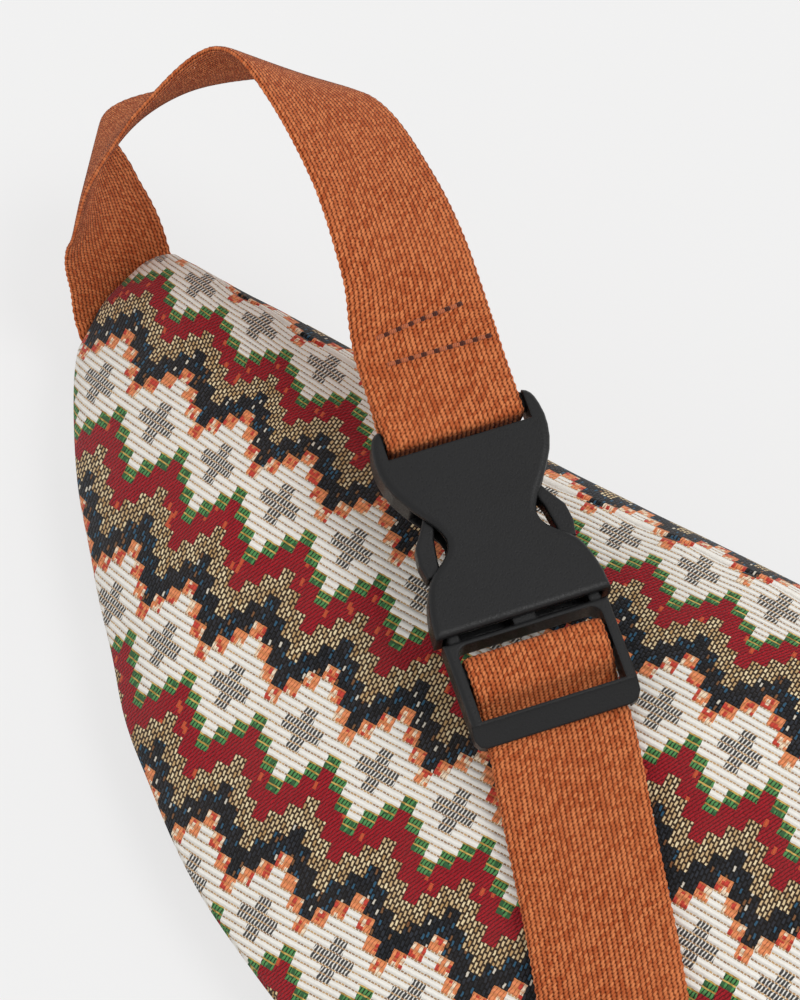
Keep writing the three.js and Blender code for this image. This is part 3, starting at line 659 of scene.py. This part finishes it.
def strip_edge_at(share):
    """Half the slit between the strips, which closes beyond the zip's ends."""
    past = np.abs(share) * HALF_LENGTH - (ZIP_HALF_LENGTH + 8 * MM)
    return lerp(STRIP_EDGE, EDGE_GAP, np.clip(past / (14 * MM), 0, 1))


def tape_near_at(share):
    """The tapes close on each other beyond the ends of the teeth."""
    past = (np.abs(share) * HALF_LENGTH - ZIP_HALF_LENGTH - 3 * MM) / (5 * MM)
    return lerp(TAPE_NEAR, TAPE_CLOSED, np.clip(past, 0, 1))


def tape_far_at(share):
    return TAPE_NEAR + TAPE_WIDTH


def lining_edge_at(share):
    return strip_edge_at(share) + LINING_FROM_ZIP


def cloth_piece(
    name,
    start_at,
    end_at,
    thick,
    stations,
    around,
    reach=1.0,
    inset=0.0,
    edge=PANEL_EDGE,
    folds=1.0,
    down="to end",
):
    """Cloth between two edges, each a place round the bag for a share of its length, with
    turned-in edges, as a closed shell. The pattern's rows are counted from where down says."""
    even = np.linspace(-1, 1, stations)
    share = reach * (0.5 * np.sin(even * math.pi / 2) + 0.5 * even)[:, None]
    q0 = start_at(share)
    q1 = end_at(share)
    fine = q0 + (q1 - q0) * np.linspace(0, 1, FINE_STEPS)[None, :]
    fine_run = run_length(body_point(share, fine, inset))
    total = fine_run[:, -1:]
    ease = 0.5 - 0.5 * np.cos(np.linspace(0, math.pi, around))
    ease = 0.7 * np.linspace(0, 1, around) + 0.3 * ease
    wanted = total * ease[None, :]
    q = np.stack([np.interp(w, f, row) for w, f, row in zip(wanted, fine_run, fine)])
    turn = np.clip(1 - np.minimum(wanted, total - wanted) / edge, 0, 1)
    rounding = edge * (1 - np.sqrt(np.clip(1 - turn**2, 0, 1)))
    sink = rounding + folds * puckers(share, wanted, total)
    outer = body_point(share, q, inset + np.clip(sink, 0, thick - LEAST_THICK))
    inner = body_point(share, q, inset + thick)[:, ::-1]
    rings = np.concatenate([outer, inner], axis=1)
    distance = {
        "to end": total - wanted,
        "from start": wanted,
        "before": -wanted,
        "after": wanted - total,
    }[down]
    x = np.broadcast_to(share * HALF_LENGTH, q.shape)
    uv = np.stack(pattern_place(x, distance), -1)
    uvs = np.concatenate([uv, uv[:, ::-1]], axis=1)
    count = rings.shape[1]
    faces = rings_to_faces(stations, count, caps=False)
    last = (stations - 1) * count
    for j in range(around - 1):
        k = count - 1 - j
        faces.append([j, k, k - 1, j + 1])
        faces.append([last + j, last + j + 1, last + k - 1, last + k])
    return mesh_object(name, rings.reshape(-1, 3), faces, uvs.reshape(-1, 2))


# Straps

SAME_POINT = 1e-4


def smooth_run(route, count):
    """Points and directions across on a centripetal curve through a route of keys, each a point
    and a direction across."""
    keys = np.array([p for p, _ in route], float)
    sides = np.array([g for _, g in route], float)

    def run(values):
        first = values[0] * 2 - values[1]
        last = values[-1] * 2 - values[-2]
        full = np.vstack([first, values, last])
        out = []
        for i in range(count + 1):
            place = (len(values) - 1) * i / count
            k = min(int(place), len(values) - 2)
            w = place - k
            p0, p1, p2, p3 = full[k : k + 4]
            pairs = ((p0, p1), (p1, p2), (p2, p3))
            d0, d1, d2 = (np.dot(b - a, b - a) ** 0.25 for a, b in pairs)
            if d1 < SAME_POINT:
                d1 = 1.0
            if d0 < SAME_POINT:
                d0 = d1
            if d2 < SAME_POINT:
                d2 = d1
            m1 = ((p1 - p0) / d0 - (p2 - p0) / (d0 + d1) + (p2 - p1) / d1) * d1
            m2 = ((p2 - p1) / d1 - (p3 - p1) / (d1 + d2) + (p3 - p2) / d2) * d1
            out.append(
                p1
                + m1 * w
                + (-3 * p1 + 3 * p2 - 2 * m1 - m2) * w**2
                + (2 * p1 - 2 * p2 + m1 + m2) * w**3
            )
        return np.array(out)

    return run(keys), run(sides)


# The buckle's place and its directions, as in the CAD part
REST_POINT = np.array([0, REST_POINT_Y, 0])
BUCKLE_ORIGIN = np.array([-64.8, -26.8, 79.5]) * MM + REST_POINT
ACROSS = np.array([0.62, 0.784, 0.009])
ACROSS = ACROSS / np.linalg.norm(ACROSS)
NORMAL = -np.cross(ACROSS, np.array([0.772, -0.608, -0.183]))
NORMAL = NORMAL / np.linalg.norm(NORMAL)
ALONG = np.cross(ACROSS, NORMAL)

# Places along the buckle in mm: where the plug leaves the socket, and the plug's inner bar
PLUG_V = 50.9
PLUG_BAR_V = PLUG_V + 6.6

# The bars that the webbing goes round: place along the buckle, underside and top
SOCKET_BAR = (-4.5 * MM, 3 * MM, 8 * MM)
PLUG_BAR = (PLUG_BAR_V * MM, 3 * MM, 7 * MM)

# Webbing between its ribs and edge loops: half its thickness less SLIM, half its width less NARROW
SLIM = 0.1 * MM
NARROW = 0.2 * MM
WEB_EDGE_POWER = 14
WALE_HEIGHT = 0.09 * MM
EDGE_LOOP = 0.16 * MM
EDGE_LOOP_PITCH = 2.3 * MM
EDGE_WAVER = 0.12 * MM
EDGE_WAVER_LENGTH = 11 * MM
TIP_WEB_SHARE = 0.9
TIP_OPENING = 17 * MM
WEB_GAP = 0.3 * MM
SHORT_STEP = 0.58 * MM
LONG_STEP = 0.6 * MM
LONG_STEP_FAR = 1.8 * MM
LONG_FAR = 230 * MM
LONG_WAY = np.array([0.68, -0.73, 0])


def on_buckle(v, w):
    """A point in the middle of the buckle: v along it from the slot, w up from its underside."""
    return BUCKLE_ORIGIN + ALONG * v + NORMAL * w


def local(v, w):
    """A key of a strap's route on the buckle, in mm."""
    return on_buckle(v * MM, w * MM), ACROSS


def at(x, y, z, across):
    """A key of a strap's route by its place in mm, and the direction across the strap."""
    return np.array([x, y, z]) * MM + REST_POINT, np.array(across, float)


def round_bar(bar, way):
    """Centre line round a bar of the buckle, from above to below it, on the side that faces way."""
    v, low, high = bar
    bend = 0.2 * MM
    radius = bend + WEB_GAP + WEB_THICK / 2
    middle = v - way * bend
    upper, lower = [], []
    for angle in np.radians([0, 15, 30, 45, 60, 75, 90]):
        up, out = math.cos(angle), math.sin(angle)
        upper.append((middle + way * radius * out, high - bend + radius * up))
        lower.append((middle + way * radius * up, low + bend - radius * out))
    return np.array([on_buckle(*p) for p in upper + lower])


def back_height(x, y):
    """Height of the back panel's surface."""
    share = x / HALF_LENGTH
    low = seam_y(share)
    t = np.clip((y - low) / (zip_edge_y(share) - low), 0, 1)
    bulge = (TIP_CROWN + BACK_CROWN * fullness(share, PLUMP_POWER)) * crown(share, t)
    return lerp(SEAM_HEIGHT, back_edge_z(share), t) + bulge


def on_back(x, y, lift):
    """A key of a strap's route at lift above the back panel, with x and y in mm."""
    x, y = x * MM, y * MM
    slope = 2 * MM
    up = np.array(
        [
            back_height(x - slope, y) - back_height(x + slope, y),
            back_height(x, y - slope) - back_height(x, y + slope),
            2 * slope,
        ]
    )
    up = up / np.linalg.norm(up)
    side = np.cross(up, LONG_WAY)
    point = np.array([x, y + REST_POINT_Y, back_height(x, y)]) + up * lift
    return point, side / np.linalg.norm(side)


def along_line(points):
    """Distance along a line of points, from 0 at its start."""
    return np.concatenate([[0], np.cumsum(np.linalg.norm(np.diff(points, axis=0), axis=1))])


def pick_at(places, run, values):
    """Rows of values, given at the distances run, at other places."""
    return np.stack([np.interp(places, run, values[:, k]) for k in range(3)], -1)


def resample(points, sides, spacing_at):
    """The same line at steps that spacing_at(distance) gives."""
    run = along_line(points)
    places = [0.0]
    while places[-1] < run[-1]:
        places.append(places[-1] + spacing_at(places[-1]))
    places[-1] = run[-1]
    places = np.array(places)
    return pick_at(places, run, points), pick_at(places, run, sides), places


def web_strap(name, points, sides, spacing_at, gather_from):
    """Webbing with rounded, looped edges along a line, its width gathered near gather_from.
    Gives the strap, and the points, sides and normals of its middle line."""
    points, sides, run = resample(points, sides, spacing_at)
    tangents = np.gradient(points, axis=0)
    tangents /= np.linalg.norm(tangents, axis=1)[:, None]
    sides = sides - (sides * tangents).sum(1)[:, None] * tangents
    sides /= np.linalg.norm(sides, axis=1)[:, None]
    ups = np.cross(tangents, sides)
    away = np.linalg.norm(points - gather_from, axis=1)
    open_share = smooth_step((away - TIP_OPENING) / TIP_OPENING)
    width = WEB_WIDTH / 2 * lerp(TIP_WEB_SHARE, 1, open_share)
    loops = EDGE_LOOP * np.sin(run * 2 * math.pi / EDGE_LOOP_PITCH)
    loops = loops + EDGE_WAVER * np.sin(run / EDGE_WAVER_LENGTH)
    across = np.linspace(-1, 1, 2 * WALES + 1)
    profile = (1 - np.abs(across) ** WEB_EDGE_POWER) ** 0.5
    wales = WALE_HEIGHT * np.cos(across * math.pi * WALES)
    half = (WEB_THICK / 2 - SLIM) * profile + wales * profile
    u = np.concatenate([across, across[-2:0:-1]])
    h = np.concatenate([half, -half[-2:0:-1]])
    reach = (width + loops - NARROW)[:, None] * u[None, :]
    rings = (
        points[:, None, :]
        + sides[:, None, :] * reach[:, :, None]
        + ups[:, None, :] * np.broadcast_to(h[None, :, None], reach.shape + (1,))
    )
    uv = np.stack(
        [
            np.broadcast_to(u[None, :] * WEB_WIDTH / 2, reach.shape),
            np.broadcast_to(run[:, None], reach.shape),
        ],
        -1,
    )
    faces = rings_to_faces(len(points), rings.shape[1])
    made = mesh_object(name, rings.reshape(-1, 3), faces, uv.reshape(-1, 2))
    return made, (points, sides, ups)


TIP_STRAP_Y = -9
SHORT_ROUTE = [
    at(-177, TIP_STRAP_Y, 20, (0.2, 1, 0)),
    at(-183, -8.5, 20.5, (0.25, 1, 0)),
    at(-187, -6, 23.5, (0.3, 0.95, 0)),
    at(-193.5, -1, 33, (0.2, 0.96, -0.1)),
    at(-200.7, 3.4, 45.7, (-0.069, 0.967, -0.244)),
    at(-204.2, 7, 65.3, (-0.448, 0.785, -0.428)),
    at(-190.5, 21.7, 84.5, (-0.36, 0.434, -0.826)),
    at(-170.1, 35.4, 101, (0.163, 0.519, -0.839)),
    at(-145, 30.9, 109.7, (0.555, 0.647, -0.522)),
    at(-119.4, 17.1, 109.8, (0.468, 0.784, -0.408)),
    at(-98.4, 1.3, 104.5, (0.323, 0.935, -0.149)),
    local(-30, 11.8),
    local(-19, 9.6),
    local(-10, 9.3),
]
SHORT_TAIL = [(-9, 1.7), (-12, 2.6), (-15.5, 4.9), (-19, 6.7), (-23, 7.9), (-27, 8.9), (-31, 9.8)]


def short_strap():
    """From the tip of the bag in a loop to the socket's bar, round it and back under itself."""
    loop, sides = smooth_run(SHORT_ROUTE, 220)
    turn = round_bar(SOCKET_BAR, 1)
    tail, _ = smooth_run([local(*p) for p in SHORT_TAIL], 40)
    points = np.vstack([loop, turn, tail])
    sides = np.vstack([sides, np.tile(ACROSS, (len(turn) + len(tail), 1))])
    return web_strap("short_strap_web", points, sides, lambda s: SHORT_STEP, points[0])


def long_strap():
    """From its tail under the belt round the plug's inner bar, under the outer bar and in an arc
    to the bag's other tip."""
    low = WEB_GAP + WEB_THICK / 2
    high = low + WEB_THICK + WEB_GAP
    crossing = [(12, -90), (26, -105), (40, -120), (50, -131)]
    lifts = [1.2 * MM, 0, 0, 0]
    under = [on_back(x, y, low + lift) for (x, y), lift in zip(crossing, lifts)][::-1]
    over = [on_back(x, y, high + lift) for (x, y), lift in zip(crossing, lifts)]
    v0 = PLUG_V
    tail_end = [local(v0 + 28, -0.3), local(v0 + 21, -0.3), local(PLUG_BAR_V + 5, 1.2)]
    tail, tail_sides = smooth_run([*under, *tail_end], 80)
    turn = round_bar(PLUG_BAR, -1)[::-1]
    side_on = (0, 0, 1)
    main, main_sides = smooth_run(
        [
            local(PLUG_BAR_V + 4.6, 8.6),
            local(v0 + 15.2, 6.9),
            local(v0 + 17.8, 3.9),
            local(v0 + 20.2, 2.1),
            local(v0 + 24, 2),
            local(v0 + 28, 1.8),
            *over,
            at(60, -143, 33, (0.72, 0.66, 0.2)),
            at(76, -162, 22, (0.5, 0.45, 0.74)),
            at(98, -182, 19.4, (0.15, 0.12, 0.98)),
            at(135, -201, 19.3, side_on),
            at(180, -204, 19.3, side_on),
            at(222, -183, 19.3, side_on),
            at(248, -142, 19.3, side_on),
            at(254, -95, 19.3, side_on),
            at(243, -50, 20, (0, 0.25, 0.97)),
            at(224, -24, 21, (0.05, 0.7, 0.7)),
            at(206, -11, 20.6, (0, 0.99, 0.12)),
            at(192, TIP_STRAP_Y, 20, (0, 1, 0)),
            at(187, TIP_STRAP_Y, 20, (0, 1, 0)),
            at(177, TIP_STRAP_Y, 20, (0, 1, 0)),
        ],
        300,
    )
    points = np.vstack([tail, turn, main])
    sides = np.vstack([tail_sides, np.tile(ACROSS, (len(turn), 1)), main_sides])

    def spacing(s):
        return LONG_STEP if s < LONG_FAR else LONG_STEP_FAR

    return web_strap("long_strap_web", points, sides, spacing, points[-1])


def capsules(name, starts, ends, ups, radius, sides):
    """Short stitches, each a round-ended thread that dips into the cloth at both ends."""
    points, faces, uvs = [], [], []
    for a, b, up in zip(starts, ends, ups):
        along = b - a
        length = np.linalg.norm(along)
        along = along / length
        side = np.cross(up, along)
        shares = np.array([0, 0.08, 0.22, 0.5, 0.78, 0.92, 1])
        lift = radius * np.array([-1.4, -0.5, 0.1, 0.35, 0.1, -0.5, -1.4])
        size = radius * np.array([0.5, 0.9, 1, 1.08, 1, 0.9, 0.5])
        base = len(points)
        for share, rise, r in zip(shares, lift, size):
            centre = a + along * length * share + up * rise
            for j in range(sides):
                t = 2 * math.pi * j / sides
                points.append(centre + side * (r * math.cos(t)) + up * (r * math.sin(t)))
                uvs.append((t / (2 * math.pi), length * share))
        faces += [[base + k for k in face] for face in rings_to_faces(len(shares), sides)]
    return mesh_object(name, points, faces, uvs)


def stitch_row(line, normals, pitch, share=0.66):
    """Starts, ends and directions of stitches along a line of points."""
    run = along_line(line)
    starts, ends, ups = [], [], []
    for k in range(int((run[-1] - pitch * share) / pitch) + 1):
        a, b = k * pitch, k * pitch + pitch * share
        starts.append(pick_at(a, run, line))
        ends.append(pick_at(b, run, line))
        up = pick_at((a + b) / 2, run, normals)
        ups.append(up / np.linalg.norm(up))
    return starts, ends, ups


def sewn(name, rows, radius, sides=8):
    """Rows of stitches as one piece."""
    starts, ends, ups = (sum((list(row[k]) for row in rows), []) for k in range(3))
    return capsules(name, starts, ends, ups, radius, sides)


# Pieces of cloth

woven = woven_cloth()
tape_cloth = fine_weave("zip_tape", (14, 14, 15), (34, 33, 32), 0.6 * MM)
lining_cloth = fine_weave("lining_cloth", (40, 35, 32), (70, 62, 56), 0.5 * MM)
web_cloth = webbing()
web_thread = thread("strap_thread", (206, 112, 68))
strip_thread = thread("strip_thread", (150, 118, 82))
# Dark pieces sunk between the strap's stitches: painted shadow of the dents, not thread
painted_dent_shadow = thread("painted_dent_shadow", (84, 32, 12))
black = plastic()
metal = zip_metal()


def dress(made, material, slot, *replaced, body="bag"):
    """Material, slot (not used), the CAD nodes it stands for and the body it rides on."""
    made.data.materials.append(material)
    if replaced:
        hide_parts(*replaced)
    if body:
        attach(made, body)


back = cloth_piece(
    "back_cloth",
    seam_edge(0, EDGE_GAP),
    seam_edge(1, -EDGE_GAP),
    PANEL_THICK,
    stations=260,
    around=150,
)
dress(back, woven, "woven_cloth", "back_panel")
front = cloth_piece(
    "front_cloth",
    seam_edge(3, EDGE_GAP),
    seam_edge(4, -EDGE_GAP),
    PANEL_THICK,
    stations=200,
    around=120,
    down="from start",
)
dress(front, woven, "woven_cloth", "front_panel")
for name, first, last, down in (
    ("back", seam_edge(1, EDGE_GAP), zip_edge(-1, strip_edge_at), "before"),
    ("front", zip_edge(1, strip_edge_at), seam_edge(3, -EDGE_GAP), "after"),
):
    strip = cloth_piece(
        f"strip_{name}_cloth",
        first,
        last,
        STRIP_THICK,
        stations=200,
        around=24,
        edge=STRIP_EDGE_ROUND,
        folds=STRIP_FOLDS,
        down=down,
    )
    dress(strip, woven, "plain_cloth", f"zip_strip_{name}")
for name, side in (("back", -1), ("front", 1)):
    edges = [zip_edge(side, at_share, TAPE_INSET) for at_share in (tape_near_at, tape_far_at)]
    tape = cloth_piece(
        f"tape_{name}_cloth",
        *edges[::side],
        TAPE_THICK,
        stations=120,
        around=8,
        reach=TAPE_REACH,
        inset=TAPE_INSET,
        edge=TAPE_EDGE,
        folds=0.0,
    )
    dress(tape, tape_cloth, "zip_tape", f"zip_tape_{name}")

short_web, (short_points, short_sides, short_ups) = short_strap()
long_web, _ = long_strap()
dress(long_web, web_cloth, "webbing", "long_strap")
dress(short_web, web_cloth, "webbing", "short_strap", body=None)
blend_to = on_buckle(-31 * MM, 10 * MM)
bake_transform(short_web)

# Two rows of stitches through the doubled end of the short strap, with a dark sunk piece between
# one stitch and the next, painted shadow of the dent there. Each row's ends are given along and
# across the buckle, in mm.
STITCH_ROWS = [((-31.5, -12.5), (-36, 13)), ((-25.2, -11.5), (-24.6, 17.2))]
STITCH_PITCH = 3.5 * MM
STITCH_SHARE = 0.72
STITCH_RADIUS = 0.5 * MM
DENT_SHADOW_SHARE = 0.6
DENT_SHADOW_RADIUS = 0.6 * MM
DENT_SHADOW_SINK = 0.32 * MM
DENT_SHADOW_SHIFT = 2.05 * MM
LOOP_FROM_V = -60

loop_end = int(np.argmax((short_points - BUCKLE_ORIGIN) @ ALONG))
loop_v = ((short_points[:loop_end] - BUCKLE_ORIGIN) @ ALONG) / MM
doubled = slice(int(np.argmax(loop_v > LOOP_FROM_V)), loop_end)


def on_loop(v, u):
    """The short strap's upper face at v along and u across the buckle, in mm, and its normal."""
    keys = (short_points, short_sides, short_ups)
    point, side, up = (pick_at(v, loop_v[doubled], values[doubled]) for values in keys)
    up = up * np.sign(np.dot(up, NORMAL))
    return point + side * (u * MM) + up * (WEB_THICK / 2), up


rows = []
dent_shadows = []
for (v0, u0), (v1, u1) in STITCH_ROWS:
    places = [on_loop(lerp(v0, v1, t), lerp(u0, u1, t)) for t in np.linspace(0, 1, 60)]
    line, normals = (np.array(part) for part in zip(*places))
    rows.append(stitch_row(line, normals, STITCH_PITCH, STITCH_SHARE))
    sunk = line - normals * DENT_SHADOW_SINK
    starts, ends, ups = stitch_row(sunk, normals, STITCH_PITCH, DENT_SHADOW_SHARE)
    shift = (line[-1] - line[0]) / np.linalg.norm(line[-1] - line[0]) * DENT_SHADOW_SHIFT
    dent_shadows.append(([p + shift for p in starts], [p + shift for p in ends], ups))
stitches = sewn("strap_stitches", rows, STITCH_RADIUS)
dress(stitches, web_thread, "webbing", body="socket")
# The dark dent pieces are painted shadow
dress(sewn("stitch_dent_shadows", dent_shadows, DENT_SHADOW_RADIUS), painted_dent_shadow, "webbing", body="socket")

# Lining, a thin bag inside the panels that opens at the zip
for name, first, last in (
    ("back", seam_edge(0, LINING_SEAM), zip_edge(-1, lining_edge_at, LINING_INSET)),
    ("front", zip_edge(1, lining_edge_at, LINING_INSET), seam_edge(4, -LINING_SEAM)),
):
    skin = cloth_piece(
        f"lining_{name}",
        first,
        last,
        LINING_THICK,
        stations=90,
        around=60,
        reach=LINING_REACH,
        inset=LINING_INSET,
        edge=LINING_EDGE,
        folds=0.0,
    )
    dress(skin, lining_cloth, "lining_cloth", "lining")

# Stitches along both strips, next to the zip
STRIP_SEWN_TO = 0.74
STRIP_STITCH_IN = 2.2 * MM
STRIP_STITCH_PITCH = 3.4 * MM
STRIP_STITCH_SINK = 0.3 * MM
STRIP_STITCH_RADIUS = 0.3 * MM
rows = []
shares = np.linspace(-STRIP_SEWN_TO, STRIP_SEWN_TO, 500)
for side in (-1, 1):
    q = place_beyond(shares, 2, side * (STRIP_EDGE + STRIP_STITCH_IN))
    line = body_point(shares, q, 0)
    ahead = body_point(shares, q + 0.01, 0) - line
    normals = np.cross(np.gradient(line, axis=0), ahead)
    normals *= np.sign(normals[:, 1:2])
    rows.append(stitch_row(line - [0, STRIP_STITCH_SINK, 0], normals, STRIP_STITCH_PITCH))
strip_stitches = sewn("strip_stitches", rows, STRIP_STITCH_RADIUS, 6)
dress(strip_stitches, strip_thread, "plain_cloth")

# Materials of the rigid pieces, which stay the CAD part's solids
SLOT_MATERIALS = {"black_plastic": black, "zip_metal": metal}
SHARP_ANGLE = math.radians(32)
node_slots = {p["node"]: p["material_slot"] for p in frame["record"]["subparts"]}
for name, node in nodes.items():
    slot = node_slots[name]
    if slot not in SLOT_MATERIALS:
        continue
    node.data.materials.clear()
    node.data.materials.append(SLOT_MATERIALS[slot])
    node.data.shade_smooth()
    node.data.set_sharp_from_angle(angle=SHARP_ANGLE)


# Floor, light and background

BACKGROUND = srgb(242, 242, 242)
FLOOR_COLOR = (0.83, 0.825, 0.82, 1)
FLOOR_GLOW = 0.78
FLOOR_SIZE = 6.0
WORLD_LIGHT = 0.8


def make_floor():
    """A white table. The camera sees it mixed with an even glow, which lightens its shadows."""
    corners = [(-1, -1, 0), (1, -1, 0), (1, 1, 0), (-1, 1, 0)]
    floor = mesh_object("floor", np.array(corners) * FLOOR_SIZE, [[0, 1, 2, 3]])
    g = Graph("floor")
    diffuse = g.node("ShaderNodeBsdfDiffuse")
    diffuse.inputs["Color"].default_value = FLOOR_COLOR
    glow = g.node("ShaderNodeEmission")
    glow.inputs["Color"].default_value = BACKGROUND
    path = g.node("ShaderNodeLightPath")
    share = Value(g, path.outputs["Is Camera Ray"]) * FLOOR_GLOW
    mix = g.node("ShaderNodeMixShader")
    g.feed(mix.inputs[0], share)
    g.tree.links.new(diffuse.outputs[0], mix.inputs[1])
    g.tree.links.new(glow.outputs[0], mix.inputs[2])
    out = g.node("ShaderNodeOutputMaterial")
    g.tree.links.new(mix.outputs[0], out.inputs["Surface"])
    floor.data.materials.append(g.material)


def make_world():
    """Even white light, and the background's grey where the camera sees past the floor."""
    world = bpy.data.worlds.new("studio")
    world.use_nodes = True
    tree = world.node_tree
    tree.nodes.clear()
    path = tree.nodes.new("ShaderNodeLightPath")
    seen = tree.nodes.new("ShaderNodeBackground")
    seen.inputs["Color"].default_value = BACKGROUND
    lit = tree.nodes.new("ShaderNodeBackground")
    lit.inputs["Color"].default_value = (1, 1, 1, 1)
    lit.inputs["Strength"].default_value = WORLD_LIGHT
    mix = tree.nodes.new("ShaderNodeMixShader")
    out = tree.nodes.new("ShaderNodeOutputWorld")
    tree.links.new(path.outputs["Is Camera Ray"], mix.inputs[0])
    tree.links.new(lit.outputs[0], mix.inputs[1])
    tree.links.new(seen.outputs[0], mix.inputs[2])
    tree.links.new(mix.outputs[0], out.inputs["Surface"])
    bpy.context.scene.world = world


def sun(name, direction, strength, angle):
    data = bpy.data.lights.new(name, "SUN")
    data.energy = strength
    data.angle = math.radians(angle)
    light = bpy.data.objects.new(name, data)
    light.rotation_euler = Vector(direction).to_track_quat("Z", "Y").to_euler()
    bpy.context.scene.collection.objects.link(light)


make_floor()
make_world()
sun("key", (0.6, 0.1, 1.0), 0.95, 25)
bpy.context.scene.view_settings.view_transform = "Standard"
